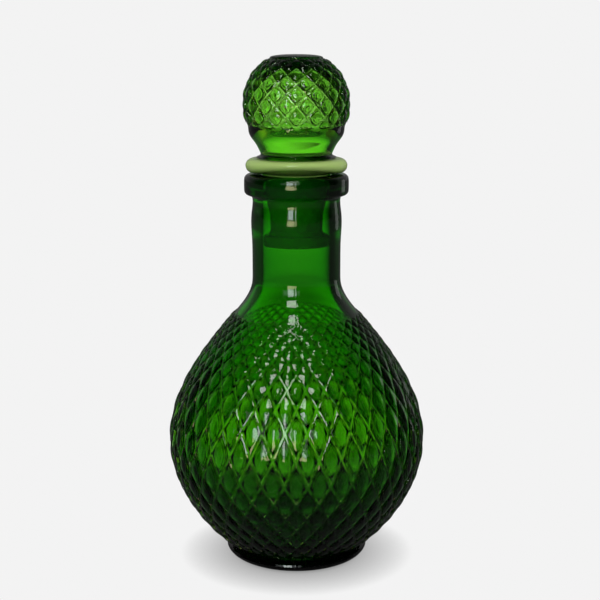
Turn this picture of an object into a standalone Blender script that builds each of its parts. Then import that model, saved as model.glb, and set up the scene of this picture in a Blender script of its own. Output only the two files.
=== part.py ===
"""Carafe of green pressed glass with a ball stopper that sits in a soft plastic seal.

Metres, +Z up. The origin is the middle of the foot's resting face.
Outlines are lists of (radius, height) points that are turned about Z.
"""

import math

import bmesh
import bpy
from mathutils import Vector

# Fits and meshing
GAP = 0.0003
MERGE_DISTANCE = 0.00001
SMOOTH_ANGLE = math.radians(30.0)
FULL_TURN = 2.0 * math.pi
QUARTER_TURN = 0.5 * math.pi
CORNER_STEPS = 3

# Diamonds: shares of a diamond's own edge
GROOVE_SHARE = 0.07
RELIEF_SHARE = 0.075
CROWN_SHARE = 0.02

# Foot of the bottle
FOOT_HEIGHT = 0.0070
FOOT_RADIUS = 0.0348
FOOT_EDGE_HEIGHT = 0.0050
FOOT_NOTCH_DEPTH = 0.0042
FOOT_REST_RADIUS = 0.0270
FOOT_RECESS_RADIUS = 0.0215
FOOT_RECESS_SLOPE = 0.0030
FOOT_RECESS_DEPTH = 0.0025

# Body of the bottle: the band of diamonds between foot and shoulder
BODY_DIAMONDS = 36
BODY_RADIUS = 0.0620
BODY_HEIGHT = 0.1146
BELLY_SHARE = 0.4538
LOWER_SWELL_POWER = 0.73
UPPER_SWELL_POWER = 0.98
BODY_ROW_SHARES = (
    0.0, 0.040, 0.086, 0.135, 0.190, 0.253, 0.319, 0.401, 0.508, 0.615,
    0.702, 0.770, 0.825, 0.868, 0.901, 0.929, 0.956, 0.979, 1.0,
)

# Shoulder and neck
SHOULDER_RADIUS = 0.0298
SHOULDER_HEIGHT = 0.0162
SHOULDER_STEPS = 4
FLARE_POWER = 1.75
NECK_RADIUS = 0.0211
NECK_HEIGHT = 0.0407
NECK_SWELL = 0.0006
NECK_SWELL_SHARES = (
    (0.0, 0.0), (0.43, 0.0), (0.57, 0.65), (0.68, 1.0), (0.79, 0.55), (0.88, -0.4), (1.0, -0.5),
)

# Rim and mouth
RIM_RADIUS = 0.0249
RIM_HEIGHT = 0.0100
RIM_LOWER_ROUND = 0.0022
RIM_UPPER_ROUND = 0.0014
MOUTH_ROUND = 0.0009
BORE_RADIUS = 0.0160

# Inside of the bottle
WALL = 0.0045
SHOULDER_WALL = 0.0061
FLOOR_RADIUS = 0.0275
FLOOR_THICKNESS = 0.0065
FLOOR_DISH = 0.0012
FLOOR_FLAT_SHARE = 0.72
INSIDE_LOWER_STEPS = 5
INSIDE_UPPER_STEPS = 5

# Seal: a thick ring on the rim, a sleeve on the plug and a lip that wipes the bore
COLLAR_RADIUS = 0.0242
COLLAR_HEIGHT = 0.0070
COLLAR_UPPER_ROUND = 0.0038
COLLAR_LOWER_ROUND = 0.0026
SLEEVE_WALL = 0.0012
SLEEVE_END_RADIUS = 0.0108
LIP_HEIGHT = 0.0055
LIP_ROUND = 0.0010
SEAL_COLUMNS = 32

# Stopper: ball, waist, flange and hollow plug
BALL_DIAMONDS = 16
BALL_RADIUS = 0.0255
BALL_TOP = 0.0231
BALL_RISE = 0.0250
BALL_ROW_ANGLES = (-24.5, -12.5, 0.0, 12.5, 24.5, 35.5, 45.5, 54.0, 60.5)
BALL_DISC_SHARE = 0.88
BALL_LOWER_ANGLES = (-45.0, -39.0, -31.0)
BALL_LOWER_SWELL = 1.03
BALL_INSIDE_ANGLES = (-48.0, -28.0, -7.0, 14.0, 35.0)
WAIST_RADIUS = 0.0168
WAIST_HEIGHT = 0.0032
WAIST_FLARE_POWER = 4.0
FLANGE_RADIUS = 0.0190
FLANGE_EDGE = 0.0004
FLANGE_STEPS = 3
PLUG_DEPTH = 0.0337
STOPPER_WALL = 0.0034

# Places worked out from the sizes above
BODY_TOP = FOOT_HEIGHT + BODY_HEIGHT
NECK_BASE = BODY_TOP + SHOULDER_HEIGHT
RIM_BASE = NECK_BASE + NECK_HEIGHT
SEAT_HEIGHT = RIM_BASE + RIM_HEIGHT
FLANGE_BASE = GAP + COLLAR_HEIGHT + GAP

# Finishes: colour, roughness and transmission
GREEN_GLASS = ("green_glass", (0.035, 0.24, 0.012, 1.0), 0.04, 0.9)
STOPPER_GLASS = ("stopper_glass", (0.060, 0.30, 0.015, 1.0), 0.04, 0.9)
SEAL_PLASTIC = ("seal_plastic", (0.40, 0.60, 0.22, 1.0), 0.38, 0.3)


def clear_scene():
    """Remove every object that the file opened with."""
    for item in list(bpy.data.objects):
        bpy.data.objects.remove(item, do_unlink=True)


def make_material(finish):
    """Return a Principled material for one finish."""
    name, colour, roughness, transmission = finish
    material = bpy.data.materials.new(name)
    material.use_nodes = True
    shader = material.node_tree.nodes["Principled BSDF"]
    shader.inputs["Base Color"].default_value = colour
    shader.inputs["Roughness"].default_value = roughness
    shader.inputs["Metallic"].default_value = 0.0
    shader.inputs["Transmission Weight"].default_value = transmission
    return material


def corner(radius, height, size, start, end):
    """Points of an arc of the given size about (radius, height), angles from the outward direction."""
    points = []
    for step in range(CORNER_STEPS + 1):
        angle = start + (end - start) * step / CORNER_STEPS
        points.append((radius + size * math.cos(angle), height + size * math.sin(angle)))
    return points


def belly_radius(height, belly, low, high, low_height):
    """Radius of the body's outline: from the belly it falls to its two ends as a power of a cosine."""
    belly_height = FOOT_HEIGHT + BELLY_SHARE * BODY_HEIGHT
    if height < belly_height:
        share = (belly_height - height) / (belly_height - low_height)
        end, power = low, LOWER_SWELL_POWER
    else:
        share = (height - belly_height) / (BODY_TOP - belly_height)
        end, power = high, UPPER_SWELL_POWER
    return end + (belly - end) * max(0.0, math.cos(QUARTER_TURN * share)) ** power


def flare(start_radius, end_radius):
    """Points of the shoulder between the body's top and the neck, both ends left out."""
    points = []
    for step in range(1, SHOULDER_STEPS):
        share = step / SHOULDER_STEPS
        radius = end_radius + (start_radius - end_radius) * (1.0 - share) ** FLARE_POWER
        points.append((radius, BODY_TOP + SHOULDER_HEIGHT * share))
    return points


def body_crossings():
    """The rows where the body's grooves cross, foot to shoulder."""
    points = []
    for share in BODY_ROW_SHARES:
        height = FOOT_HEIGHT + BODY_HEIGHT * share
        radius = belly_radius(
            height, BODY_RADIUS, FOOT_RADIUS - FOOT_NOTCH_DEPTH, SHOULDER_RADIUS, FOOT_HEIGHT
        )
        points.append((radius, height))
    return points


def foot_outline():
    """The underside and edge of the foot, from the axis to the notch under the body, which is left out."""
    points = [
        (0.0, FOOT_RECESS_DEPTH),
        (FOOT_RECESS_RADIUS - FOOT_RECESS_SLOPE, FOOT_RECESS_DEPTH),
        (FOOT_RECESS_RADIUS, 0.0),
    ]
    for step in range(CORNER_STEPS + 1):
        angle = QUARTER_TURN * step / CORNER_STEPS
        radius = FOOT_REST_RADIUS + (FOOT_RADIUS - FOOT_REST_RADIUS) * math.sin(angle)
        points.append((radius, FOOT_EDGE_HEIGHT * (1.0 - math.cos(angle))))
    return points


def neck_outline():
    """The outside of the neck and rim, up to the mouth."""
    points = []
    for height_share, swell_share in NECK_SWELL_SHARES:
        points.append((NECK_RADIUS + NECK_SWELL * swell_share, NECK_BASE + NECK_HEIGHT * height_share))
    points += corner(
        RIM_RADIUS - RIM_LOWER_ROUND, RIM_BASE + RIM_LOWER_ROUND, RIM_LOWER_ROUND, -QUARTER_TURN, 0.0
    )
    points += corner(
        RIM_RADIUS - RIM_UPPER_ROUND, SEAT_HEIGHT - RIM_UPPER_ROUND, RIM_UPPER_ROUND, 0.0, QUARTER_TURN
    )
    points += corner(
        BORE_RADIUS + MOUTH_ROUND, SEAT_HEIGHT - MOUTH_ROUND, MOUTH_ROUND, QUARTER_TURN, 2.0 * QUARTER_TURN
    )
    return points


def inside_outline():
    """The inner wall of the bottle, from the foot of the bore down to the axis."""
    shoulder = SHOULDER_RADIUS - SHOULDER_WALL
    belly = BODY_RADIUS - WALL
    floor_height = FOOT_RECESS_DEPTH + FLOOR_THICKNESS
    wall_foot = floor_height + FLOOR_DISH
    belly_height = FOOT_HEIGHT + BELLY_SHARE * BODY_HEIGHT
    points = [(BORE_RADIUS, NECK_BASE)]
    points += reversed(flare(shoulder, BORE_RADIUS))
    for step in range(INSIDE_UPPER_STEPS):
        height = BODY_TOP + (belly_height - BODY_TOP) * step / INSIDE_UPPER_STEPS
        points.append((belly_radius(height, belly, FLOOR_RADIUS, shoulder, wall_foot), height))
    for step in range(INSIDE_LOWER_STEPS + 1):
        height = belly_height + (wall_foot - belly_height) * step / INSIDE_LOWER_STEPS
        points.append((belly_radius(height, belly, FLOOR_RADIUS, shoulder, wall_foot), height))
    points.append((FLOOR_RADIUS * FLOOR_FLAT_SHARE, floor_height))
    points.append((0.0, floor_height))
    return points


def turn(points, columns):
    """Spin an outline that starts and ends on the axis. Each vertex keeps its point's number."""
    mesh = bmesh.new()
    number_layer = mesh.verts.layers.int.new("point")
    verts = []
    for number, (radius, height) in enumerate(points):
        vert = mesh.verts.new((radius, 0.0, height))
        vert[number_layer] = number
        verts.append(vert)
    edges = [mesh.edges.new(pair) for pair in zip(verts, verts[1:])]
    bmesh.ops.spin(
        mesh,
        geom=verts + edges,
        cent=(0.0, 0.0, 0.0),
        axis=(0.0, 0.0, 1.0),
        angle=FULL_TURN,
        steps=columns,
        use_merge=True,
    )
    bmesh.ops.remove_doubles(mesh, verts=mesh.verts, dist=MERGE_DISTANCE)
    bmesh.ops.recalc_face_normals(mesh, faces=mesh.faces)
    return mesh


def round_plain_rings(mesh, columns, first, last):
    """Double the columns of every ring that lies outside points first to last."""
    number_layer = mesh.verts.layers.int["point"]
    rings = []
    for edge in mesh.edges:
        start, end = (vert[number_layer] for vert in edge.verts)
        if start == end and not first <= start <= last:
            rings.append(edge)
    result = bmesh.ops.subdivide_edges(mesh, edges=rings, cuts=1, use_grid_fill=True)
    outward = 1.0 / math.cos(math.pi / columns)
    for item in result["geom_inner"]:
        if isinstance(item, bmesh.types.BMVert):
            item.co.x *= outward
            item.co.y *= outward


def raise_diamonds(mesh, first, crossings):
    """Turn the quads from point first upwards into diamonds, each a raised pillow with grooves round it.

    Every second crossing is a ring of the turned mesh. The others are added between the rings.
    """
    number_layer = mesh.verts.layers.int["point"]
    last = first + (len(crossings) - 1) // 2
    band = {face for face in mesh.faces if all(first <= vert[number_layer] <= last for vert in face.verts)}
    edges = {edge for face in band for edge in face.edges if all(near in band for near in edge.link_faces)}
    middles = bmesh.ops.poke(mesh, faces=list(band))["verts"]
    for vert in middles:
        below = min(edge.other_vert(vert)[number_layer] for edge in vert.link_edges)
        radius, height = crossings[2 * (below - first) + 1]
        direction = Vector((vert.co.x, vert.co.y, 0.0)).normalized()
        vert.co = direction * radius + Vector((0.0, 0.0, height))
    bmesh.ops.dissolve_edges(mesh, edges=list(edges), use_verts=False)
    diamonds = {face for vert in middles for face in vert.link_faces if len(face.verts) == 4}
    for face in sorted(diamonds, key=lambda diamond: diamond.calc_center_median().z):
        edge_length = min(edge.calc_length() for edge in face.edges)
        bmesh.ops.inset_individual(
            mesh,
            faces=[face],
            thickness=edge_length * GROOVE_SHARE,
            depth=edge_length * RELIEF_SHARE,
            use_even_offset=True,
        )
        bmesh.ops.poke(mesh, faces=[face], offset=edge_length * CROWN_SHARE)


def finish_object(name, mesh, finish, collection):
    """Put a finished mesh into an object of its own, shaded smooth except at its sharp edges."""
    data = bpy.data.meshes.new(name)
    mesh.to_mesh(data)
    mesh.free()
    data.materials.append(make_material(finish))
    data.shade_smooth()
    data.set_sharp_from_angle(angle=SMOOTH_ANGLE)
    item = bpy.data.objects.new(name, data)
    collection.objects.link(item)
    return item


def make_bottle(collection):
    """The bottle: foot, diamond body, shoulder, neck and rim, with a smooth inside open at the mouth."""
    foot = foot_outline()
    crossings = body_crossings()
    points = foot + crossings[::2]
    points += flare(SHOULDER_RADIUS, NECK_RADIUS) + neck_outline() + inside_outline()
    mesh = turn(points, BODY_DIAMONDS)
    raise_diamonds(mesh, len(foot), crossings)
    return finish_object("bottle", mesh, GREEN_GLASS, collection)


def sleeve_radius(height):
    """Outer radius of the tapered sleeve at a height over the seat."""
    top = BORE_RADIUS - GAP
    return top + (top - SLEEVE_END_RADIUS) * height / PLUG_DEPTH


def plug_radius(height):
    """Outer radius of the glass plug at a height over the seat."""
    return sleeve_radius(height) - SLEEVE_WALL - GAP


def seal_outline():
    """The seal's closed section, down its outer side from the collar's top."""
    collar_top = GAP + COLLAR_HEIGHT
    lip_radius = BORE_RADIUS - GAP
    lip_top = LIP_HEIGHT - PLUG_DEPTH
    upper_centre = (COLLAR_RADIUS - COLLAR_UPPER_ROUND, collar_top - COLLAR_UPPER_ROUND)
    lower_centre = (COLLAR_RADIUS - COLLAR_LOWER_ROUND, GAP + COLLAR_LOWER_ROUND)
    points = corner(*upper_centre, COLLAR_UPPER_ROUND, QUARTER_TURN, 0.0)
    points += corner(*lower_centre, COLLAR_LOWER_ROUND, 0.0, -QUARTER_TURN)
    points.append((sleeve_radius(0.0), GAP))
    points.append((sleeve_radius(lip_top), lip_top))
    points += corner(lip_radius - LIP_ROUND, lip_top - LIP_ROUND, LIP_ROUND, QUARTER_TURN, 0.0)
    points += corner(lip_radius - LIP_ROUND, LIP_ROUND - PLUG_DEPTH, LIP_ROUND, 0.0, -QUARTER_TURN)
    points.append((plug_radius(-PLUG_DEPTH) + GAP, -PLUG_DEPTH))
    points.append((plug_radius(collar_top) + GAP, collar_top))
    return points


def make_seal(collection):
    """The seal: its section is turned by a Screw modifier. Its origin is on the bottle's seat."""
    points = [(radius, 0.0, height) for radius, height in seal_outline()]
    count = len(points)
    edges = [(number, (number + 1) % count) for number in range(count)]
    data = bpy.data.meshes.new("seal_sleeve")
    data.from_pydata(points, edges, [])
    data.materials.append(make_material(SEAL_PLASTIC))
    seal = bpy.data.objects.new("seal_sleeve", data)
    collection.objects.link(seal)
    screw = seal.modifiers.new("turned", "SCREW")
    screw.axis = "Z"
    screw.angle = FULL_TURN
    screw.steps = SEAL_COLUMNS
    screw.render_steps = SEAL_COLUMNS
    screw.use_merge_vertices = True
    screw.merge_threshold = MERGE_DISTANCE
    screw.use_smooth_shade = True
    seal.location.z = SEAT_HEIGHT
    return seal


def on_ball(radius, degrees):
    """A point of the ball's outline at an angle over its equator."""
    angle = math.radians(degrees)
    return radius * math.cos(angle), FLANGE_BASE + BALL_RISE + radius * math.sin(angle)


def stopper_base_outline():
    """The outside of the stopper from the plug's end up to the foot of the ball."""
    points = [(plug_radius(-PLUG_DEPTH), -PLUG_DEPTH), (plug_radius(FLANGE_BASE), FLANGE_BASE)]
    points += [(FLANGE_RADIUS, FLANGE_BASE), (FLANGE_RADIUS, FLANGE_BASE + FLANGE_EDGE)]
    for step in range(1, FLANGE_STEPS + 1):
        share = step / FLANGE_STEPS
        radius = WAIST_RADIUS + (FLANGE_RADIUS - WAIST_RADIUS) * (1.0 - share) ** WAIST_FLARE_POWER
        points.append((radius, FLANGE_BASE + FLANGE_EDGE + (WAIST_HEIGHT - FLANGE_EDGE) * share))
    points += [on_ball(BALL_RADIUS * BALL_LOWER_SWELL, degrees) for degrees in BALL_LOWER_ANGLES]
    return points


def stopper_inside_outline():
    """The hollow of the stopper, from the axis under the ball's flat top down to the plug's open end."""
    radius = BALL_RADIUS - STOPPER_WALL
    ceiling = BALL_TOP - STOPPER_WALL
    ceiling_height = FLANGE_BASE + BALL_RISE + ceiling
    points = [(0.0, ceiling_height), (math.sqrt(radius ** 2 - ceiling ** 2), ceiling_height)]
    points += [on_ball(radius, degrees) for degrees in reversed(BALL_INSIDE_ANGLES)]
    points.append((plug_radius(FLANGE_BASE) - STOPPER_WALL, FLANGE_BASE))
    points.append((plug_radius(-PLUG_DEPTH) - STOPPER_WALL, -PLUG_DEPTH))
    return points


def make_stopper(collection, seal):
    """The stopper: a hollow ball with diamonds on a waist, a flange and a plug that is open below."""
    base = stopper_base_outline()
    crossings = [on_ball(BALL_RADIUS, degrees) for degrees in BALL_ROW_ANGLES]
    top = FLANGE_BASE + BALL_RISE + BALL_TOP
    points = stopper_inside_outline() + base
    first = len(points)
    points += crossings[::2]
    points += [(crossings[-1][0] * BALL_DISC_SHARE, top), (0.0, top)]
    mesh = turn(points, BALL_DIAMONDS)
    round_plain_rings(mesh, BALL_DIAMONDS, first, first + len(crossings) // 2)
    raise_diamonds(mesh, first, crossings)
    stopper = finish_object("ball_stopper", mesh, STOPPER_GLASS, collection)
    stopper.parent = seal
    return stopper


def main():
    """Build the carafe's three pieces in one collection."""
    clear_scene()
    collection = bpy.data.collections.new("carafe")
    bpy.context.scene.collection.children.link(collection)
    make_bottle(collection)
    seal = make_seal(collection)
    make_stopper(collection, seal)


main()
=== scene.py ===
"""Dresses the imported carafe: pressed green glass bottle, hollow ball stopper, soft seal, pale studio.

The bottle and the stopper are shaped ring by ring from a circle. Their diamond pattern is cut into the
wall while it is still open, so that every diamond is a pillow of its own with grooves round it.
"""

from __future__ import annotations

import logging
import math
from dataclasses import dataclass
from enum import Enum
from typing import Callable

import bmesh
import bpy
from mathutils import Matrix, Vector


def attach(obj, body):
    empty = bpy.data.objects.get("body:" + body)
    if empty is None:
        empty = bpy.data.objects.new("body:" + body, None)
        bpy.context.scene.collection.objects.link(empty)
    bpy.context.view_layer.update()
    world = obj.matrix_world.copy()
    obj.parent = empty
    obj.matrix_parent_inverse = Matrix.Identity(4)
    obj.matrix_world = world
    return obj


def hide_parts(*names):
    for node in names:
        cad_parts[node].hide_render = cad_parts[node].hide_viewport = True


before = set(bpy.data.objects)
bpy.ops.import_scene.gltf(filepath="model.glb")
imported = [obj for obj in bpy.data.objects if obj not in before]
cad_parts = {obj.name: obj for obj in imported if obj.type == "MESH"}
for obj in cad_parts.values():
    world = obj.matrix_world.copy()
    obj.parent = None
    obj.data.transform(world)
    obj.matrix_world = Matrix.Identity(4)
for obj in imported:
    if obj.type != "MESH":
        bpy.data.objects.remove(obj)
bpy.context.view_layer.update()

log = logging.getLogger("carafe")

GAP = 0.0003
MERGE_DISTANCE = 0.00001
PLACE_TOLERANCE = 0.00002
ROW_TOLERANCE = 5.0 * PLACE_TOLERANCE
PLACE_DIGITS = 6
SHARP_ANGLE = math.radians(24.0)

Point = tuple[float, float]
Span = tuple[float, float]
Point3 = tuple[float, float, float]
Colour = tuple[float, float, float]
Socket = bpy.types.NodeSocket

# The numbers of a Mix node's two inputs and of its output, for each kind of data.
MIX_SOCKETS = {"FLOAT": (2, 3, 0), "VECTOR": (4, 5, 1)}


class Part(Enum):
    """The CAD nodes that the new pieces stand for, each with its body and its material slot."""

    BOTTLE = ("bottle", "bottle", "bottle_glass")
    SEAL = ("seal_sleeve", "seal", "seal_plastic")
    STOPPER = ("ball_stopper", "stopper", "stopper_glass")


class Ray(Enum):
    """The kinds of light path that the studio tells apart."""

    CAMERA = "Is Camera Ray"
    GLOSSY = "Is Glossy Ray"
    TRANSMISSION = "Is Transmission Ray"


class NodeBench:
    """Adds shader nodes to one tree and joins them."""

    def __init__(self, tree: bpy.types.NodeTree) -> None:
        """Empties the tree.

        Args:
            tree: The tree of a material, a world or a node group.
        """
        self.tree = tree
        tree.nodes.clear()

    def add(self, kind: str, inputs: dict | None = None, **settings: object) -> bpy.types.Node:
        """Adds one node.

        Args:
            kind: The node's type name, without "ShaderNode" in front.
            inputs: Sockets, by name or number, each with a value or with a socket to join it to.
            settings: Properties of the node and their values.

        Returns:
            The new node.
        """
        prefix = "" if kind.startswith("NodeGroup") else "ShaderNode"
        node = self.tree.nodes.new(prefix + kind)
        for key, value in settings.items():
            setattr(node, key, value)
        for key, value in (inputs or {}).items():
            if isinstance(value, Socket):
                self.tree.links.new(value, node.inputs[key])
            else:
                node.inputs[key].default_value = value
        return node

    def math(self, operation: str, *values: object) -> Socket:
        """Adds a Math node for some values or sockets, and returns its output."""
        return self.add("Math", dict(enumerate(values)), operation=operation).outputs[0]

    def between(self, value: object, low: float, high: float) -> Socket:
        """Adds a smooth step that is 0 below low and 1 above high, and returns its output."""
        inputs = {"Value": value, "From Min": low, "From Max": high}
        return self.add("MapRange", inputs, interpolation_type="SMOOTHSTEP").outputs["Result"]

    def noise(self, vector: Socket, scale: object, detail: float) -> Socket:
        """Adds a noise texture, and returns its output."""
        return self.add("TexNoise", {"Vector": vector, "Scale": scale, "Detail": detail}).outputs["Fac"]

    def scaled(self, vector: object, share: object) -> Socket:
        """Adds a node that scales a vector or a colour, and returns its output."""
        return self.add("VectorMath", {0: vector, "Scale": share}, operation="SCALE").outputs[0]

    def axes(self, vector: Socket) -> bpy.types.bpy_prop_collection:
        """Adds a node that parts a vector into X, Y and Z, and returns its outputs."""
        return self.add("SeparateXYZ", {"Vector": vector}).outputs

    def open_share(self, reach: float, samples: int) -> Socket:
        """Adds a node that finds how open a point is within a reach, and returns its output."""
        return self.add("AmbientOcclusion", {"Distance": reach}, samples=samples).outputs["AO"]

    def mirrored_before(self) -> Socket:
        """Returns a socket that is 1 where the glass mirrored the ray on its way, and otherwise 0."""
        return self.math("MINIMUM", self.add("LightPath").outputs["Glossy Depth"], 1.0)

    def by_ray(self, kind: str, other: object, values: dict[Ray, object]) -> Socket:
        """Adds the nodes that give each kind of ray a value of its own.

        Args:
            kind: "FLOAT" or "VECTOR".
            other: The value for all other rays.
            values: The value for each kind. Where a ray is of two kinds, the later one holds.

        Returns:
            The value for the ray that comes.
        """
        path = self.add("LightPath").outputs
        start, end, out = MIX_SOCKETS[kind]
        for ray, value in values.items():
            mix = self.add("Mix", {0: path[ray.value], start: other, end: value}, data_type=kind)
            other = mix.outputs[out]
        return other


class MouldedSurface:
    """The node group of the marks that a mould leaves: slow ripples, a seam and uneven polish."""

    NAME = "moulded_surface"
    SEAM_HALF_WIDTH = 0.0005
    SLOW_DETAIL = 1.0
    FINE_DETAIL = 2.0
    FINE_RIPPLE_FACTOR = 2.2
    FINE_RIPPLE_SHARE = 0.3
    POLISH_DETAIL = 3.0
    POLISH_FACTOR = 1.7
    POLISH_RANGE = (0.35, 0.65)
    DRAWN = (1.0, 1.0, 0.25)
    SOCKETS = (
        ("Vector", "INPUT", "Vector"),
        ("Ripple Scale", "INPUT", "Float"),
        ("Ripple Height", "INPUT", "Float"),
        ("Seam Height", "INPUT", "Float"),
        ("Roughness Low", "INPUT", "Float"),
        ("Roughness High", "INPUT", "Float"),
        ("Roughness", "OUTPUT", "Float"),
        ("Normal", "OUTPUT", "Vector"),
    )

    def group(self) -> bpy.types.NodeTree:
        """Returns the group, built on its first use."""
        if self.NAME in bpy.data.node_groups:
            return bpy.data.node_groups[self.NAME]
        tree = bpy.data.node_groups.new(self.NAME, "ShaderNodeTree")
        for name, way, kind in self.SOCKETS:
            tree.interface.new_socket(name=name, in_out=way, socket_type="NodeSocket" + kind)
        bench = NodeBench(tree)
        inputs = bench.add("NodeGroupInput").outputs
        vector, scale = inputs["Vector"], inputs["Ripple Scale"]
        drawn = bench.add("VectorMath", {0: vector, 1: self.DRAWN}, operation="MULTIPLY").outputs[0]
        slow = bench.noise(drawn, scale, self.SLOW_DETAIL)
        fine_scale = bench.math("MULTIPLY", scale, self.FINE_RIPPLE_FACTOR)
        fine = bench.noise(vector, fine_scale, self.FINE_DETAIL)
        ripple = bench.math("MULTIPLY_ADD", fine, self.FINE_RIPPLE_SHARE, slow)
        ripple = bench.math("MULTIPLY", ripple, inputs["Ripple Height"])
        beside = bench.math("ABSOLUTE", bench.axes(vector)["X"])
        seam = bench.math("SUBTRACT", 1.0, bench.between(beside, 0.0, self.SEAM_HALF_WIDTH))
        height = bench.math("MULTIPLY_ADD", seam, inputs["Seam Height"], ripple)
        bump = bench.add("Bump", {"Strength": 1.0, "Distance": 1.0, "Height": height})
        polish_scale = bench.math("MULTIPLY", scale, self.POLISH_FACTOR)
        polish = bench.noise(vector, polish_scale, self.POLISH_DETAIL)
        rough = bench.add(
            "MapRange",
            {
                "Value": polish,
                "From Min": self.POLISH_RANGE[0],
                "From Max": self.POLISH_RANGE[1],
                "To Min": inputs["Roughness Low"],
                "To Max": inputs["Roughness High"],
            },
        )
        marks = {"Roughness": rough.outputs["Result"], "Normal": bump.outputs["Normal"]}
        bench.add("NodeGroupOutput", marks)
        return tree


@dataclass(frozen=True)
class Finish:
    """One finish of the carafe.

    The clear share is the light that passes the surface, and the bend is the refractive index. The fade is
    what each colour loses in a metre of depth. The crevice is a ring of heights with painted shade, where
    ambient occlusion in a narrow gap darkens the colour.
    """

    name: str
    tint: Colour
    fade: Colour
    ripple_scale: float
    seam_height: float
    roughness: Span
    ripple_height: float = 0.00004
    clear_share: float = 1.0
    bend: float = 1.5
    # Where painted shade from ambient occlusion darkens the colour: its reach, its ring of heights and its
    # samples.
    crevice_shade_reach: float = 0.0
    crevice_shade_base: float = 0.0
    crevice_shade_height: float = 0.0
    crevice_shade_samples: int = 8

    def colour(self, bench: NodeBench, place: Socket) -> object:
        """Adds the nodes of the colour, with painted shade that darkens it where a narrow gap keeps the
        light out.

        Args:
            bench: The material's tree.
            place: The point on the surface.

        Returns:
            The colour, or a socket that gives it.
        """
        if not self.crevice_shade_reach:
            return (*self.tint, 1.0)
        # Painted shade: ambient occlusion darkens the tint within a ring of heights just above the rim's
        # top.
        height = bench.axes(place)["Z"]
        above = bench.math("GREATER_THAN", height, self.crevice_shade_base)
        below = bench.math("LESS_THAN", height, self.crevice_shade_base + self.crevice_shade_height)
        within = bench.math("MULTIPLY", above, below)
        open_share = bench.open_share(self.crevice_shade_reach, self.crevice_shade_samples)
        lost = bench.math("MULTIPLY", bench.math("SUBTRACT", 1.0, open_share), within)
        return bench.scaled(self.tint, bench.math("SUBTRACT", 1.0, lost))

    def material(self) -> bpy.types.Material:
        """Builds the finish as a material.

        Returns:
            A new material with its surface marks and its depth of colour.
        """
        material = bpy.data.materials.new(self.name)
        material.use_nodes = True
        bench = NodeBench(material.node_tree)
        place = bench.add("TexCoord").outputs["Object"]
        marks = bench.add(
            "Group",
            {
                "Vector": place,
                "Ripple Scale": self.ripple_scale,
                "Ripple Height": self.ripple_height,
                "Seam Height": self.seam_height,
                "Roughness Low": self.roughness[0],
                "Roughness High": self.roughness[1],
            },
            node_tree=MouldedSurface().group(),
        )
        body = bench.add(
            "BsdfPrincipled",
            {
                "Base Color": self.colour(bench, place),
                "Metallic": 0.0,
                "Transmission Weight": self.clear_share,
                "IOR": self.bend,
                "Roughness": marks.outputs["Roughness"],
                "Normal": marks.outputs["Normal"],
            },
        )
        density = max(self.fade)
        kept = (*(1.0 - share / density for share in self.fade), 1.0)
        depth = bench.add("VolumeAbsorption", {"Color": kept, "Density": density})
        bench.add("OutputMaterial", {"Surface": body.outputs["BSDF"], "Volume": depth.outputs["Volume"]})
        return material


BOTTLE_GLASS = Finish(
    name="bottle_glass",
    tint=(0.86, 0.98, 0.82),
    fade=(370.0, 120.0, 600.0),
    ripple_scale=70.0,
    seam_height=0.00005,
    roughness=(0.02, 0.06),
)
STOPPER_GLASS = Finish(
    name="stopper_glass",
    tint=(0.88, 0.98, 0.84),
    fade=(310.0, 95.0, 620.0),
    ripple_scale=90.0,
    seam_height=0.00004,
    roughness=(0.02, 0.05),
)
SEAL_PLASTIC = Finish(
    name="seal_plastic",
    tint=(0.72, 0.99, 0.31),
    clear_share=0.4,
    bend=1.42,
    fade=(36.0, 12.0, 70.0),
    ripple_scale=160.0,
    ripple_height=0.00008,
    seam_height=0.0,
    roughness=(0.06, 0.14),
    # Painted shade in the seal's colour, in the gap just above the rim's top.
    crevice_shade_reach=0.005,
    crevice_shade_base=0.1886,
    crevice_shade_height=0.0036,
)


def corner(centre: Point, size: float, start: float, end: float, steps: int = 3) -> list[Point]:
    """Lays points along an arc of an outline.

    Args:
        centre: Radius and height of the arc's centre.
        size: Radius of the arc.
        start: First angle in degrees, from the outward direction.
        end: Last angle in degrees.
        steps: Number of stretches.

    Returns:
        The points, each as radius and height.
    """
    points = []
    for step in range(steps + 1):
        angle = math.radians(start + (end - start) * step / steps)
        points.append((centre[0] + size * math.cos(angle), centre[1] + size * math.sin(angle)))
    return points


def grey(level: float) -> Colour:
    """Returns the grey of a level."""
    return level, level, level


def same_place(one: Point, other: Point) -> bool:
    """Says whether two rings have the same radius and height."""
    return math.dist(one, other) < PLACE_TOLERANCE


def pick(kind: str, test: Callable[[object], bool]) -> int:
    """Selects the vertices, edges or faces that pass a test, and nothing else.

    Args:
        kind: "VERT", "EDGE" or "FACE".
        test: Says of each one whether it is selected.

    Returns:
        How many were selected.
    """
    bpy.ops.mesh.select_mode(type=kind)
    bpy.ops.mesh.select_all(action="DESELECT")
    data = bpy.context.edit_object.data
    mesh = bmesh.from_edit_mesh(data)
    everything = {"VERT": mesh.verts, "EDGE": mesh.edges, "FACE": mesh.faces}[kind]
    picked = [one for one in everything if test(one)]
    for one in picked:
        one.select_set(True)
    mesh.select_flush_mode()
    bmesh.update_edit_mesh(data)
    return len(picked)


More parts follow.
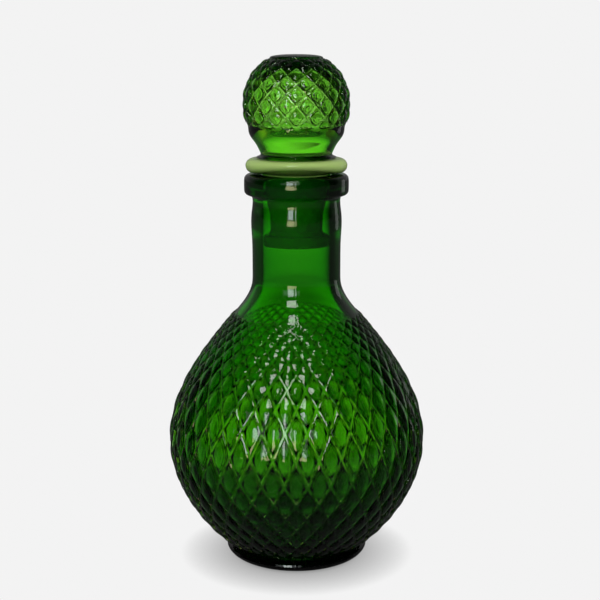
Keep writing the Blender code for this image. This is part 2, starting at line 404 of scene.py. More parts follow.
class TurnedWall:
    """A wall that grows ring by ring from a circle round the Z axis, in edit mode."""

    def __init__(self, name: str, columns: int, start: Point, filled: bool = True) -> None:
        """Adds the first circle and selects its edge.

        Args:
            name: Name of the object.
            columns: Number of points in each ring.
            start: Radius and height of the first ring.
            filled: Whether the first ring is closed by a fan of faces.
        """
        self.columns = columns
        # Smoothing draws the points of a ring in by this factor.
        self.swell = 3.0 / (2.0 + math.cos(2.0 * math.pi / columns))
        self.last = (start[0] * self.swell, start[1])
        bpy.ops.object.select_all(action="DESELECT")
        bpy.ops.mesh.primitive_circle_add(
            vertices=columns,
            radius=self.last[0],
            fill_type="TRIFAN" if filled else "NOTHING",
            location=(0.0, 0.0, start[1]),
        )
        self.item = bpy.context.active_object
        self.item.name = name
        self.item.data.name = name
        bpy.ops.object.mode_set(mode="EDIT")
        self.pick_open_end()

    def pick_open_end(self) -> None:
        """Selects the edges at which the wall is still open."""
        pick("EDGE", lambda edge: len(edge.link_faces) < 2)

    def grow(self, outline: list[Point], plain: bool = True) -> None:
        """Extrudes the selected ring along an outline.

        Args:
            outline: Radius and height of each new ring.
            plain: Whether the rings are smooth ones. The subdivision draws these in a little, so their
                points are set out by the same amount.
        """
        for radius, height in outline:
            radius *= self.swell if plain else 1.0
            bpy.ops.mesh.extrude_edges_move(
                TRANSFORM_OT_translate={"value": (0.0, 0.0, height - self.last[1])}
            )
            self.widen(radius / self.last[0])
            self.last = (radius, height)

    def widen(self, share: float) -> None:
        """Scales the selected ring away from the axis."""
        bpy.ops.transform.resize(value=(share, share, 1.0), center_override=(0.0, 0.0, 0.0))

    @property
    def base(self) -> float:
        """Height of the object's origin."""
        return self.item.location.z

    def spot(self, vert: bmesh.types.BMVert) -> Point:
        """Returns a vertex's radius and height."""
        return math.hypot(vert.co.x, vert.co.y), vert.co.z + self.base

    def mesh(self) -> bmesh.types.BMesh:
        """Returns the mesh in edit mode, with its vertices and faces numbered."""
        mesh = bmesh.from_edit_mesh(self.item.data)
        mesh.verts.index_update()
        mesh.faces.index_update()
        return mesh

    def selected_verts(self) -> set[Point3]:
        """Returns the places of the selected vertices."""
        return {vert.co.to_tuple(PLACE_DIGITS) for vert in self.mesh().verts if vert.select}

    def rings_of(self, numbers: set[int]) -> list[Point]:
        """Returns the rings that some vertices lie on, each as radius and height."""
        places: list[Point] = []
        for vert in self.mesh().verts:
            if vert.index in numbers:
                place = self.spot(vert)
                if not any(same_place(place, other) for other in places):
                    places.append(place)
        return places

    def move_ring(self, place: Point) -> None:
        """Moves the selected ring to a new radius and height."""
        now = next(self.spot(vert) for vert in self.mesh().verts if vert.select)
        self.widen(place[0] / now[0])
        bpy.ops.transform.translate(value=(0.0, 0.0, place[1] - now[1]))

    def close(self) -> None:
        """Draws the last ring together on the axis."""
        bpy.ops.mesh.merge(type="CENTER")

    def finish(self, levels: int, material: bpy.types.Material, part: Part) -> bpy.types.Object:
        """Smooths the wall and makes it stand for its CAD node.

        Args:
            levels: Levels of the subdivision surface.
            material: The finish.
            part: The node that it stands for.

        Returns:
            The finished object.
        """
        bpy.ops.mesh.select_all(action="SELECT")
        bpy.ops.mesh.remove_doubles(threshold=MERGE_DISTANCE)
        bpy.ops.mesh.normals_make_consistent(inside=False)
        bpy.ops.object.mode_set(mode="OBJECT")
        bpy.ops.object.transform_apply(location=True, rotation=True, scale=True)
        smooth = self.item.modifiers.new("smooth", "SUBSURF")
        smooth.levels = levels
        smooth.render_levels = levels
        smooth.use_limit_surface = False
        bpy.ops.object.modifier_apply(modifier=smooth.name)
        bpy.ops.object.shade_smooth_by_angle(angle=SHARP_ANGLE)
        self.item.data.materials.clear()
        self.item.data.materials.append(material)
        node, body, slot = part.value
        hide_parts(node)
        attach(self.item, body)
        return self.item


@dataclass(frozen=True)
class PillowStep:
    """One loop of a diamond's pillow: how far it lies inside the last one, and its height over the outline.

    Both are shares of the diamond's inner radius. A sharp loop keeps its edge when the wall is smoothed.
    """

    inward: float
    height: float
    sharp: bool = False


@dataclass
class DiamondBand:
    """Diamonds round a turned wall. Every second crossing is a ring of the wall."""

    crossings: list[Point]
    outline: Callable[[float], float]
    steps: tuple[PillowStep, ...]
    crown: float
    inner_share: float = 0.8
    middle_tolerance: float = 0.1

    def inner(self, height: float) -> float:
        """Returns a radius that parts the band from the wall's inside at a height."""
        nearest = min(self.crossings, key=lambda point: abs(point[1] - height))
        return self.inner_share * nearest[0]

    def press(self, wall: TurnedWall) -> None:
        """Grows the band on a wall, turns its quads into diamonds and raises each one.

        Args:
            wall: The wall, in edit mode, with its open end selected, which it is again afterwards.
        """
        rings = self.crossings[::2]
        wall.grow(rings, plain=False)
        turn = 2.0 * math.pi / wall.columns
        last = len(rings) - 1

        def ring_of(vert: bmesh.types.BMVert) -> int:
            """Returns the number of the band's ring that a vertex is on, or -1."""
            place = wall.spot(vert)
            for number, ring in enumerate(rings):
                if same_place(place, ring):
                    return number
            return -1

        def is_middle(vert: bmesh.types.BMVert) -> bool:
            """Says whether a vertex is on the band, halfway between two columns."""
            radius, height = wall.spot(vert)
            share = math.atan2(vert.co.y, vert.co.x) / turn
            off = abs(share - math.floor(share) - 0.5)
            return radius > self.inner(height) and off < self.middle_tolerance

        def is_old(edge: bmesh.types.BMEdge) -> bool:
            """Says whether an edge belongs to the quads and lies within the band."""
            start, end = (ring_of(vert) for vert in edge.verts)
            return start >= 0 and end >= 0 and not (start == end and start in (0, last))

        bpy.ops.mesh.select_all(action="SELECT")
        bpy.ops.mesh.normals_make_consistent(inside=False)
        pick("FACE", lambda face: all(ring_of(vert) >= 0 for vert in face.verts))
        bpy.ops.mesh.poke()
        for number in range(last):
            low, high = rings[number][1], rings[number + 1][1]
            pick("VERT", lambda vert: is_middle(vert) and low < wall.spot(vert)[1] < high)
            wall.move_ring(self.crossings[2 * number + 1])
        pick("EDGE", is_old)
        bpy.ops.mesh.dissolve_edges(use_verts=False, use_face_split=False)
        for number in range(len(self.crossings)):
            self.raise_row(wall, number)
        wall.pick_open_end()

    def raise_row(self, wall: TurnedWall, number: int) -> None:
        """Raises one row of diamonds into pillows that follow the outline.

        Args:
            wall: The wall, in edit mode.
            number: The row, which is the crossing at its middle.
        """
        radius, height = self.crossings[number]
        beside = (number - 1, number + 1)
        near = [self.crossings[other] for other in beside if 0 <= other < len(self.crossings)]
        half_width = radius * math.sin(math.pi / wall.columns)
        tall = [math.dist(self.crossings[number], point) for point in near]
        sides = [math.hypot(half_width, length) for length in tall]
        if len(near) == 2:
            middle = (near[0][1] + 2.0 * height + near[1][1]) / 4.0
            size = half_width * sum(tall) / sum(sides)
        else:
            middle = (2.0 * height + near[0][1]) / 3.0
            size = half_width * tall[0] / (sides[0] + half_width)

        def in_row(face: bmesh.types.BMFace) -> bool:
            """Says whether a face is a diamond of this row."""
            centre = face.calc_center_median()
            return (
                abs(centre.z + wall.base - middle) < ROW_TOLERANCE
                and math.hypot(centre.x, centre.y) > self.inner(middle)
                and len(face.verts) == 2 + len(near)
                and face.calc_area() > size * size
            )

        found = pick("FACE", in_row)
        if found != wall.columns:
            log.warning("row %d has %d diamonds", number, found)
        lifted = 0.0
        for step in self.steps:
            bpy.ops.mesh.inset(
                thickness=step.inward * size,
                depth=(step.height - lifted) * size,
                use_individual=True,
                use_even_offset=True,
            )
            lifted = step.height
            crease = 1.0 if step.sharp else -1.0
            bpy.ops.transform.edge_crease(value=crease)
            bpy.ops.transform.vert_crease(value=crease)
            self.follow(wall, lifted * size, set())
        corners = wall.selected_verts()
        bpy.ops.mesh.poke()
        self.follow(wall, self.crown * size, corners)

    def follow(self, wall: TurnedWall, lift: float, left_out: set[Point3]) -> None:
        """Moves the selected loops of a row's diamonds to one height over the outline.

        Args:
            wall: The wall, in edit mode.
            lift: The height over the outline.
            left_out: Places of vertices that stay.
        """
        mesh = wall.mesh()
        faces = {face.index for face in mesh.faces if face.select}
        chosen = [vert for vert in mesh.verts if vert.select]
        held = {vert.index for vert in chosen if vert.co.to_tuple(PLACE_DIGITS) not in left_out}
        for place in wall.rings_of(held):
            pick("VERT", lambda vert: vert.index in held and same_place(wall.spot(vert), place))
            slope = (self.outline(place[1] + GAP) - self.outline(place[1] - GAP)) / (2.0 * GAP)
            wall.move_ring((self.outline(place[1]) + lift * math.hypot(1.0, slope), place[1]))
        pick("FACE", lambda face: face.index in faces)


@dataclass
class Bottle:
    """The bottle: a low foot, a round body with diamonds, a flared shoulder, a straight neck and a rim."""

    columns: int = 36
    levels: int = 1
    foot_height: float = 0.0070
    foot_radius: float = 0.0348
    foot_edge: float = 0.0050
    foot_notch: float = 0.0042
    foot_steps: int = 4
    rest_radius: float = 0.0270
    rest_edge: float = 0.0020
    recess_ring: float = 0.4
    recess_radius: float = 0.0215
    recess_slope: float = 0.0030
    recess_depth: float = 0.0025
    body_radius: float = 0.0620
    groove_radius: float = 0.0611
    body_height: float = 0.1146
    belly_share: float = 0.4538
    lower_power: float = 0.73
    upper_power: float = 0.98
    rows: tuple[float, ...] = (
        0.0, 0.040, 0.086, 0.135, 0.190, 0.253, 0.319, 0.401, 0.508, 0.615,
        0.702, 0.770, 0.825, 0.868, 0.901, 0.929, 0.956, 0.979, 1.0,
    )
    shoulder_radius: float = 0.0298
    shoulder_height: float = 0.0162
    flare_power: float = 1.75
    flare_steps: int = 7
    inner_flare_steps: int = 6
    neck_radius: float = 0.0211
    neck_height: float = 0.0407
    neck_swell: float = 0.0006
    neck_swells: tuple[Point, ...] = (
        (0.0, 0.0), (0.15, 0.0), (0.43, 0.0), (0.57, 0.65),
        (0.68, 1.0), (0.79, 0.55), (0.88, -0.4), (0.985, -0.5),
    )
    rim_radius: float = 0.0249
    rim_height: float = 0.0100
    rim_lower_round: float = 0.0022
    rim_upper_round: float = 0.0026
    mouth_round: float = 0.0009
    bore_radius: float = 0.0160
    bore_rings: tuple[float, ...] = (0.7, 0.3, 0.0)
    wall: float = 0.0045
    shoulder_wall: float = 0.0061
    inner_steps: int = 18
    floor_radius: float = 0.0275
    floor_thickness: float = 0.0065
    floor_dish: float = 0.0012
    floor_rings: tuple[Point, ...] = ((0.85, 0.2), (0.6, 0.0), (0.2, 0.0))
    pillow: tuple[PillowStep, ...] = (
        PillowStep(0.10, 0.0, True),
        PillowStep(0.10, 0.140, True),
        PillowStep(0.16, 0.215, True),
        PillowStep(0.24, 0.275),
    )
    crown: float = 0.320

    @property
    def body_top(self) -> float:
        """Height of the body's upper end."""
        return self.foot_height + self.body_height

    @property
    def neck_base(self) -> float:
        """Height at which the shoulder has become the neck."""
        return self.body_top + self.shoulder_height

    @property
    def rim_base(self) -> float:
        """Height of the rim's underside."""
        return self.neck_base + self.neck_height

    @property
    def seat_height(self) -> float:
        """Height of the rim's top, on which the seal sits."""
        return self.rim_base + self.rim_height

    def body_outline(self, height: float, belly: float, low: Point, high: float) -> float:
        """Finds the radius of a body outline.

        Args:
            height: Where.
            belly: Radius at the belly.
            low: Radius and height of the lower end.
            high: Radius of the upper end.

        Returns:
            The radius, which falls from the belly to both ends as a power of a cosine.
        """
        middle = self.foot_height + self.belly_share * self.body_height
        if height < middle:
            share, end, power = (middle - height) / (middle - low[1]), low[0], self.lower_power
        else:
            share, end, power = (height - middle) / (self.body_top - middle), high, self.upper_power
        return end + (belly - end) * max(0.0, math.cos(0.5 * math.pi * share)) ** power

    def flare(self, start: float, end: float, steps: int) -> list[Point]:
        """Lays the shoulder between two radii, both ends left out, and returns its points."""
        points = []
        for step in range(1, steps):
            share = step / steps
            radius = end + (start - end) * (1.0 - share) ** self.flare_power
            points.append((radius, self.body_top + self.shoulder_height * share))
        return points

    def foot(self) -> list[Point]:
        """Returns the outline of the foot, from its recess to the notch under the body."""
        points = [
            (self.recess_radius - self.recess_slope, self.recess_depth),
            (self.recess_radius, 0.0),
            (self.rest_radius - self.rest_edge, 0.0),
            (self.rest_radius, 0.0),
        ]
        for step in range(1, self.foot_steps + 1):
            angle = 0.5 * math.pi * step / self.foot_steps
            radius = self.rest_radius + (self.foot_radius - self.rest_radius) * math.sin(angle)
            points.append((radius, self.foot_edge * (1.0 - math.cos(angle))))
        return points

    def band(self) -> DiamondBand:
        """Returns the diamonds of the body."""
        low = (self.foot_radius - self.foot_notch, self.foot_height)

        def outline(height: float) -> float:
            """Returns the radius at which the grooves run."""
            return self.body_outline(height, self.groove_radius, low, self.shoulder_radius)

        heights = [self.foot_height + self.body_height * share for share in self.rows]
        crossings = [(outline(height), height) for height in heights]
        return DiamondBand(crossings, outline, self.pillow, self.crown)

    def neck(self) -> list[Point]:
        """Returns the outline of the shoulder, neck and rim, up to the mouth."""
        points = self.flare(self.shoulder_radius, self.neck_radius, self.flare_steps)
        for share, swell in self.neck_swells:
            radius = self.neck_radius + self.neck_swell * swell
            points.append((radius, self.neck_base + self.neck_height * share))
        lower, upper, mouth = self.rim_lower_round, self.rim_upper_round, self.mouth_round
        points += corner((self.rim_radius - lower, self.rim_base + lower), lower, -90.0, 0.0)
        points += corner((self.rim_radius - upper, self.seat_height - upper), upper, 0.0, 90.0)
        points += corner((self.bore_radius + mouth, self.seat_height - mouth), mouth, 90.0, 180.0)
        return points

    def inside(self) -> list[Point]:
        """Returns the outline of the inner wall, from under the mouth down to the floor."""
        shoulder = self.shoulder_radius - self.shoulder_wall
        belly = self.body_radius - self.wall
        floor = self.recess_depth + self.floor_thickness
        low = (self.floor_radius, floor + self.floor_dish)
        heights = [self.neck_base + self.neck_height * share for share in self.bore_rings]
        points = [(self.bore_radius, height) for height in heights]
        points += reversed(self.flare(shoulder, self.bore_radius, self.inner_flare_steps))
        for step in range(self.inner_steps + 1):
            height = self.body_top + (low[1] - self.body_top) * step / self.inner_steps
            points.append((self.body_outline(height, belly, low, shoulder), height))
        for share, rise in self.floor_rings:
            points.append((self.floor_radius * share, floor + rise * self.floor_dish))
        return points

    def build(self) -> bpy.types.Object:
        """Builds the bottle.

        Returns:
            The finished glass.
        """
        start = (self.recess_radius * self.recess_ring, self.recess_depth)
        wall = TurnedWall("bottle_pressed", self.columns, start)
        wall.grow(self.foot())
        self.band().press(wall)
        wall.grow(self.neck() + self.inside())
        wall.close()
        return wall.finish(self.levels, BOTTLE_GLASS.material(), Part.BOTTLE)


@dataclass
class Seal:
    """The soft seal: a round collar on the rim and a tapered sleeve with a lip inside the neck."""

    seat_height: float
    bore_radius: float
    columns: int = 32
    levels: int = 1
    collar_radius: float = 0.0242
    collar_height: float = 0.0070
    collar_upper_round: float = 0.0034
    collar_lower_round: float = 0.0036
    collar_steps: int = 4
    edge: float = 0.0010
    sleeve_wall: float = 0.0012
    sleeve_end: float = 0.0108
    sleeve_ring: float = 0.4
    inner_rings: tuple[float, ...] = (-0.032, -0.016, 0.0, 0.006)
    depth: float = 0.0337
    lip_height: float = 0.0055
    lip_round: float = 0.0010
    creep: float = 0.0030
    creep_edge: float = 0.0012

    def sleeve(self, height: float) -> float:
        """Returns the sleeve's outer radius at a height over the seat."""
        top = self.bore_radius - GAP
        return top + (top - self.sleeve_end) * height / self.depth

    def plug(self, height: float) -> float:
        """Returns the radius of the plug that fills the sleeve at a height over the seat."""
        return self.sleeve(height) - self.sleeve_wall - GAP

    def on_seat(self, points: list[Point]) -> list[Point]:
        """Returns points whose heights were counted from the seat, with their heights over the floor."""
        return [(radius, self.seat_height + height) for radius, height in points]

    def section(self) -> list[Point]:
        """Returns the seal's section, from the collar's top round its outer side and back."""
        top, depth = GAP + self.collar_height, self.depth
        upper, lower = self.collar_upper_round, self.collar_lower_round
        lip_radius = self.bore_radius - GAP
        lip_top = self.lip_height - depth
        points = corner((self.collar_radius - upper, top - upper), upper, 90.0, 0.0, self.collar_steps)
        points += corner((self.collar_radius - lower, GAP + lower), lower, 0.0, -90.0)
        points += [(self.sleeve(0.0) + self.edge, GAP), (self.sleeve(0.0), GAP)]
        points.append((self.sleeve(-self.edge), GAP - self.edge))
        points += [(self.sleeve(height), height) for height in (self.sleeve_ring * lip_top, lip_top)]
        points += corner((lip_radius - self.lip_round, lip_top - self.lip_round), self.lip_round, 90.0, 0.0)
        points += corner((lip_radius - self.lip_round, self.lip_round - depth), self.lip_round, 0.0, -90.0)
        points += [(self.plug(-depth) + self.edge, -depth), (self.plug(-depth) + GAP, -depth)]
        points += [(self.plug(height) + GAP, height) for height in (*self.inner_rings, top)]
        return self.on_seat(points)

    def build(self) -> bpy.types.Object:
        """Builds the seal.

        Returns:
            The finished seal.
        """
        section = self.section()
        wall = TurnedWall("seal_moulded", self.columns, section[0], filled=False)
        wall.grow(section[1:] + section[:1])
        self.raise_front(wall)
        return wall.finish(self.levels, SEAL_PLASTIC.material(), Part.SEAL)

    def raise_front(self, wall: TurnedWall) -> None:
        """Draws the collar's underside up in front, where the soft plastic has crept off the rim.

        Args:
            wall: The seal, in edit mode.
        """
        top = self.seat_height + GAP + self.collar_height
        for column in range(self.columns):
            angle = 2.0 * math.pi * column / self.columns
            front = max(0.0, -math.cos(angle)) ** 2

            def is_collar(vert: bmesh.types.BMVert) -> bool:
                """Says whether a vertex is on this column, on the collar's outer side."""
                radius, height = wall.spot(vert)
                across = math.atan2(vert.co.x, vert.co.y) % (2.0 * math.pi)
                return (
                    abs(across - angle) < math.pi / self.columns
                    and radius > self.bore_radius + self.creep_edge
                    and self.seat_height < height
                )

            if front > 0.0 and pick("VERT", is_collar):
                left = 1.0 - self.creep * front / self.collar_height
                bpy.ops.transform.resize(value=(1.0, 1.0, left), center_override=(0.0, 0.0, top))


@dataclass
class Stopper:
    """The stopper: a hollow ball with diamonds on a waist, a flange and a plug that is open below."""

    seal: Seal
    columns: int = 16
    levels: int = 2
    ball_radius: float = 0.0255
    groove_radius: float = 0.0242
    ball_power: float = 2.1
    ball_top: float = 0.0231
    ball_rise: float = 0.0250
    rows: tuple[float, ...] = (-24.5, -12.5, 0.0, 12.5, 24.5, 35.5, 45.5, 54.0, 60.5)
    cap: tuple[Point, ...] = ((1.01, 0.0015), (0.93, 0.0008), (0.68, 0.0003), (0.36, 0.00005), (0.12, 0.0))
    lower_angles: tuple[float, ...] = (-45.0, -39.0, -31.0)
    lower_swell: float = 1.02
    foot_swell: float = 1.04
    inside_angles: tuple[float, ...] = (33.0, 22.0, 11.0, 0.0, -12.0, -24.0, -36.0, -48.0)
    waist_radius: float = 0.0168
    waist_height: float = 0.0020
    waist_power: float = 2.4
    waist_steps: int = 4
    flange_radius: float = 0.0190
    flange_edge: float = 0.0004
    flange_round: Point = (0.0004, 0.0001)
    # Rings near the plug's open end and near its upper end keep their edges crisp.
    plug_edge: float = 0.0008
    plug_lip: Point = (0.0005, 0.0003)
    plug_foot: float = 0.0040
    plug_head: Span = (0.0030, 0.0005)
    wall: float = 0.0027
    hollow_head: float = 0.0060
    hollow_foot: float = 0.0015
    ceiling_wall: float = 0.0062
    ceiling_start: float = 0.3
    ceiling_ring: float = 0.8
    ceiling_edge: float = 0.0002
    pillow: tuple[PillowStep, ...] = (
        PillowStep(0.06, 0.0, True),
        PillowStep(0.24, 0.280, True),
        PillowStep(0.14, 0.335),
        PillowStep(0.20, 0.370),
    )
    crown: float = 0.400

    @property
    def base(self) -> float:
        """Height of the flange's underside over the seat."""
        return GAP + self.seal.collar_height + GAP

    def on_ball(self, radius: float, degrees: float) -> Point:
        """Returns a point of a ball's outline at an angle over its equator."""
        height = radius * math.sin(math.radians(degrees))
        return self.ball_outline(radius, height), self.base + self.ball_rise + height

    def ball_outline(self, radius: float, height: float) -> float:
        """Returns a ball's radius at a height over its equator, a little fuller than a true ball's."""
        share = min(1.0, abs(height) / radius)
        return radius * (1.0 - share ** self.ball_power) ** (1.0 / self.ball_power)

    def inside(self) -> list[Point]:
        """Returns the outline of the hollow, from under the ball's flat top down to the plug's open end."""
        radius = self.ball_radius - self.wall
        ceiling = self.ball_top - self.ceiling_wall
        height = self.base + self.ball_rise + ceiling
        edge = math.sqrt(radius ** 2 - ceiling ** 2)
        depth = self.seal.depth
        points = [(edge * self.ceiling_ring, height), (edge, height - self.ceiling_edge)]
        points += [self.on_ball(radius, degrees) for degrees in self.inside_angles]
        for level in (self.base, self.base - self.hollow_head, -0.5 * depth, self.hollow_foot - depth):
            points.append((self.seal.plug(level) - self.wall, level))
        return points

    def outside(self) -> list[Point]:
        """Returns the outline of the plug, flange and waist, up to the foot of the ball's pattern."""
        depth, plug, base = self.seal.depth, self.seal.plug, self.base
        end, edge = plug(-depth), self.plug_edge
        points = [(end - self.wall + self.plug_lip[0], self.plug_lip[1] - depth)]
        points += [(end - 0.5 * self.wall, -depth), (end - edge, -depth), (end, edge - depth)]
        head = [base - drop for drop in (*self.plug_head, 0.0)]
        points += [(plug(level), level) for level in (self.plug_foot - depth, -0.5 * depth, *head)]
        points += [(plug(base) + edge, base), (self.flange_radius - self.flange_round[0], base)]
        points += [(self.flange_radius, base + rise) for rise in (self.flange_round[1], self.flange_edge)]
        reach = self.flange_radius - self.waist_radius
        climb = self.waist_height - self.flange_edge
        for step in range(1, self.waist_steps + 1):
            share = step / self.waist_steps
            radius = self.waist_radius + reach * (1.0 - share) ** self.waist_power
            points.append((radius, base + self.flange_edge + climb * share))
        lower_radius = self.ball_radius * self.lower_swell
        return points + [self.on_ball(lower_radius, degrees) for degrees in self.lower_angles]

    def build(self) -> bpy.types.Object:
        """Builds the stopper.

        Returns:
            The finished stopper.
        """
        seat, on_seat = self.seal.seat_height, self.seal.on_seat
        middle = seat + self.base + self.ball_rise

        def outline(height: float) -> float:
            """Returns the radius at which the ball's grooves run."""
            return self.ball_outline(self.groove_radius, height - middle)

        crossings = on_seat([self.on_ball(self.groove_radius, degrees) for degrees in self.rows])
        crossings[0] = (crossings[0][0] * self.foot_swell, crossings[0][1])
        band = DiamondBand(crossings, outline, self.pillow, self.crown)
        top = self.base + self.ball_rise + self.ball_top
        cap = [(crossings[-1][0] * share, top - drop) for share, drop in self.cap]
        start = (self.ceiling_start * self.ball_radius, seat + (top - self.ceiling_wall))
        wall = TurnedWall("stopper_pressed", self.columns, start)
        wall.grow(on_seat(self.inside() + self.outside()))
        band.press(wall)
        wall.grow(on_seat(cap))
        wall.close()
        return wall.finish(self.levels, STOPPER_GLASS.material(), Part.STOPPER)


@dataclass(frozen=True)
class Softbox:
    """A flat lamp that the glass mirrors, placed by the degrees of its direction from the carafe."""

    name: str
    azimuth: float
    elevation: float
    distance: float
    width: float
    height: float
    radiance: float
    tint: Colour = (1.0, 1.0, 1.0)

    def build(self, target: Vector) -> None:
        """Hangs the lamp so that it faces the carafe.

        Args:
            target: The point that it faces.
        """
        around, over = math.radians(self.azimuth), math.radians(self.elevation)
        direction = Vector(
            (math.sin(around) * math.cos(over), -math.cos(around) * math.cos(over), math.sin(over))
        )
        light = bpy.data.lights.new(self.name, "AREA")
        light.shape = "RECTANGLE"
        light.size = self.width
        light.size_y = self.height
        light.color = self.tint
        light.energy = self.radiance * math.pi * self.width * self.height
        lamp = bpy.data.objects.new(self.name, light)
        bpy.context.scene.collection.objects.link(lamp)
        lamp.location = target + direction * self.distance
        lamp.rotation_euler = direction.to_track_quat("Z", "Y").to_euler()
        lamp.visible_camera = False
        lamp.visible_diffuse = False
        lamp.visible_transmission = False


SOFTBOXES = (
    Softbox("sill", -14.0, -1.4, 1.6, width=0.50, height=0.24, radiance=6.5, tint=(1.0, 0.90, 0.50)),
    Softbox("window", -14.5, 16.0, 1.6, width=0.36, height=0.70, radiance=7.0, tint=(0.90, 1.0, 0.98)),
    Softbox("window_wide", -13.0, 17.0, 1.65, width=1.20, height=0.50, radiance=0.9, tint=(0.92, 1.0, 1.0)),
    Softbox("window_high", -11.0, 44.0, 1.5, width=0.56, height=0.34, radiance=8.0, tint=(0.92, 1.0, 0.88)),
    Softbox("overhead", -10.0, 66.0, 1.5, width=0.34, height=0.24, radiance=7.0, tint=(0.94, 1.0, 0.92)),
    Softbox("back_right", 124.0, -5.0, 0.9, width=0.24, height=0.60, radiance=0.5),
)


@dataclass
class Studio:
    """The pale studio: floor, surround, softboxes and camera."""

    # What the camera sees, what the glass shows of the backdrop, and what lights the rest.
    white: float = 0.896
    backdrop: float = 1.40
    backdrop_loss: float = 1.25
    soft_light: float = 1.0
    # What is lost on the way after a mirror on the glass, far off and near, and towards the sides.
    bounce_loss: float = 0.85
    near_loss: float = 0.35
    wall_clear: Span = (0.12, 0.36)
    floor_clear: Span = (0.42, 0.90)
    bright_side: float = 0.22
    side_loss: float = 0.80
    # The backdrop darkens upwards along a slope. What the glass mirrors is brighter behind.
    slope: float = 0.35
    slope_range: Span = (0.0, 0.22)
    back_range: Span = (0.0, 0.75)
    back_mirror: float = 0.19
    front_mirror: float = 0.008
    # The painted light and shade of the floor as the glass shows it: distance in metres, and colour.
    floor_glow: float = 2.3
    painted_floor_tones: tuple[tuple[float, Colour], ...] = (
        (0.0, (0.12, 0.08, 0.07)), (0.10, (0.18, 0.13, 0.10)), (0.16, (0.86, 0.44, 0.46)),
        (0.24, (0.88, 0.48, 0.44)), (0.36, (0.25, 0.19, 0.18)), (0.60, (0.13, 0.16, 0.14)),
        (0.80, (0.27, 0.31, 0.27)), (1.2, (0.38, 0.41, 0.38)), (2.0, (0.50, 0.53, 0.48)),
    )
    table_reach: float = 2.0
    loss_start: Span = (0.45, 0.70)
    loss_end: Span = (2.0, 2.6)
    floor_mirror: float = 0.08
    floor_bounce: float = 0.15
    shadow_reach: float = 0.022
    shadow_depth: float = 0.70
    shadow_samples: int = 16
    floor_size: float = 12.0
    floor_shift: float = 3.0
    floor_drop: float = 0.00005
    lamp_target: Point3 = (0.0, 0.0, 0.12)
    camera_place: Point = (-0.62868, 0.25514)
    camera_side: float = 0.0017
    camera_tilt: float = 78.5
    lens: float = 79.6
    sensor: float = 36.0
    clip: float = 0.01

    def side_shade(self, bench: NodeBench, across: Socket, clear: Span) -> Socket:
        """Adds the nodes that darken the pale backdrop towards its sides.

        Args:
            bench: The tree.
            across: How far to the side the light comes from, as a share of its way.
            clear: The shares at which it begins to darken and at which it is darkest.

        Returns:
            The share of light that is left.
        """
        beside = bench.math("ABSOLUTE", bench.math("ADD", across, self.bright_side))
        return bench.math("MULTIPLY_ADD", bench.between(beside, *clear), -self.side_loss, 1.0)

    def surround(self) -> None:
        """Builds the world: pale where it is looked at or through, dim where the glass mirrors its front."""
        world = bpy.data.worlds.new("surround")
        bpy.context.scene.world = world
        world.use_nodes = True
        bench = NodeBench(world.node_tree)
        way = bench.axes(bench.add("TexCoord").outputs["Generated"])
        behind = bench.between(way["Y"], *self.back_range)
        mirrored = bench.math("MULTIPLY_ADD", behind, self.back_mirror, self.front_mirror)
        leaning = bench.math("MULTIPLY_ADD", way["X"], self.slope, way["Z"])
        high = bench.between(leaning, *self.slope_range)
        through = bench.math("MULTIPLY_ADD", high, -self.backdrop_loss, self.backdrop)
        through = bench.math("MULTIPLY", through, self.side_shade(bench, way["X"], self.wall_clear))
        near = bench.math("MULTIPLY_ADD", bench.mirrored_before(), -self.near_loss, 1.0)
        through = bench.math("MULTIPLY", through, near)
        values = {Ray.GLOSSY: mirrored, Ray.TRANSMISSION: through, Ray.CAMERA: self.white}
        level = bench.by_ray("FLOAT", self.soft_light, values)
        background = bench.add("Background", {"Color": (1.0, 1.0, 1.0, 1.0), "Strength": level})
        bench.add("OutputWorld", {"Surface": background.outputs["Background"]})

    def painted_table_shading(self, bench: NodeBench, place: Socket) -> Socket:
        """Adds the nodes of the painted light and shade that the glass shows of the floor.

        Args:
            bench: The floor's tree.
            place: The point on the floor.

        Returns:
            The colour of painted light and shade, by the distance from the carafe and the side.
        """
        away = bench.add("VectorMath", {0: place}, operation="LENGTH").outputs["Value"]
        ramp = bench.add("ValToRGB", {"Fac": bench.math("DIVIDE", away, self.table_reach)})
        stops = ramp.color_ramp.elements
        for number, (reach, tone) in enumerate(self.painted_floor_tones):
            share = reach / self.table_reach
            stop = stops[number] if number < len(stops) else stops.new(share)
            stop.position = share
            stop.color = (*tone, 1.0)
        start, end = bench.between(away, *self.loss_start), bench.between(away, *self.loss_end)
        far = bench.math("SUBTRACT", start, end)
        loss = bench.math("MULTIPLY_ADD", far, self.bounce_loss - self.near_loss, self.near_loss)
        kept = bench.math("SUBTRACT", 1.0, bench.math("MULTIPLY", bench.mirrored_before(), loss))
        kept = bench.math("MULTIPLY", kept, self.floor_glow)
        across = bench.math("DIVIDE", bench.axes(place)["X"], away)
        kept = bench.math("MULTIPLY", kept, self.side_shade(bench, across, self.floor_clear))
        return bench.scaled(ramp.outputs["Color"], kept)

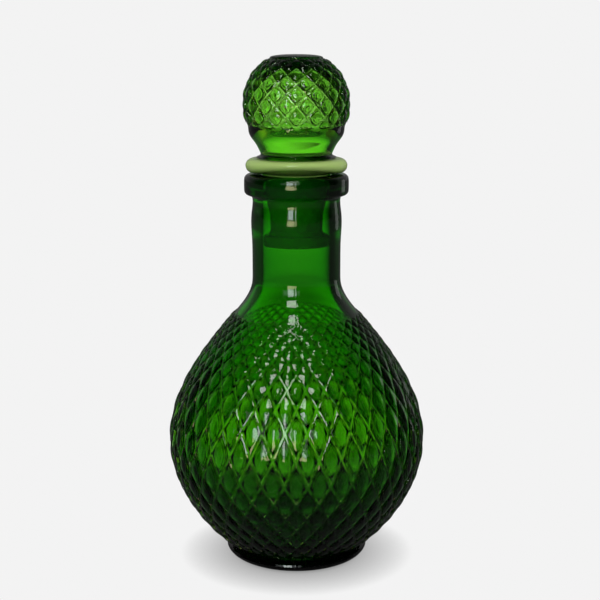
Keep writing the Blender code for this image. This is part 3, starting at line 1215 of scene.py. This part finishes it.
    def floor(self) -> None:
        """Lays the floor: pale, with the carafe's contact shadow, and with painted light and shade in the
        tones that the glass shows.
        """
        bpy.ops.object.select_all(action="DESELECT")
        bpy.ops.mesh.primitive_plane_add(size=self.floor_size, location=(0.0, 0.0, 0.0))
        floor = bpy.context.active_object
        floor.name = "floor"
        bpy.ops.object.mode_set(mode="EDIT")
        bpy.ops.transform.translate(value=(0.0, self.floor_shift, -self.floor_drop))
        bpy.ops.object.mode_set(mode="OBJECT")
        material = bpy.data.materials.new("floor")
        material.use_nodes = True
        bench = NodeBench(material.node_tree)
        shade = bench.open_share(self.shadow_reach, self.shadow_samples)
        shade = bench.math("MULTIPLY_ADD", shade, self.shadow_depth, 1.0 - self.shadow_depth)
        # Painted light and shade: through the glass the floor shows tones that stand in for its lighting and
        # the carafe's shadow.
        seen = self.painted_table_shading(bench, bench.add("TexCoord").outputs["Object"])
        values = {Ray.GLOSSY: grey(self.floor_mirror), Ray.TRANSMISSION: seen, Ray.CAMERA: grey(self.white)}
        lit = bench.scaled(bench.by_ray("VECTOR", grey(self.floor_bounce), values), shade)
        glow = bench.add("Emission", {"Color": lit, "Strength": 1.0})
        bench.add("OutputMaterial", {"Surface": glow.outputs["Emission"]})
        floor.data.materials.append(material)

    def lamps(self) -> None:
        """Hangs the softboxes."""
        for softbox in SOFTBOXES:
            softbox.build(Vector(self.lamp_target))

    def camera(self) -> None:
        """Sets the camera at the photograph's angle."""
        data = bpy.data.cameras.new("camera")
        data.sensor_width = self.sensor
        data.lens = self.lens
        data.clip_start = self.clip
        camera = bpy.data.objects.new("camera", data)
        bpy.context.scene.collection.objects.link(camera)
        camera.location = (self.camera_side, *self.camera_place)
        camera.rotation_euler = (math.radians(self.camera_tilt), 0.0, 0.0)
        bpy.context.scene.camera = camera

    def build(self) -> None:
        """Builds the whole studio."""
        self.surround()
        self.floor()
        self.lamps()
        self.camera()
        bpy.context.scene.view_settings.view_transform = "Standard"


def main() -> None:
    """Builds the carafe's three pieces and the studio."""
    logging.basicConfig(level=logging.INFO, format="%(name)s: %(message)s")
    bottle = Bottle()
    seal = Seal(bottle.seat_height, bottle.bore_radius)
    for maker in (bottle, seal, Stopper(seal)):
        piece = maker.build()
        log.info("%s: %d faces of %s", piece.name, len(piece.data.polygons), piece.active_material.name)
    Studio().build()


if __name__ == "__main__":
    main()
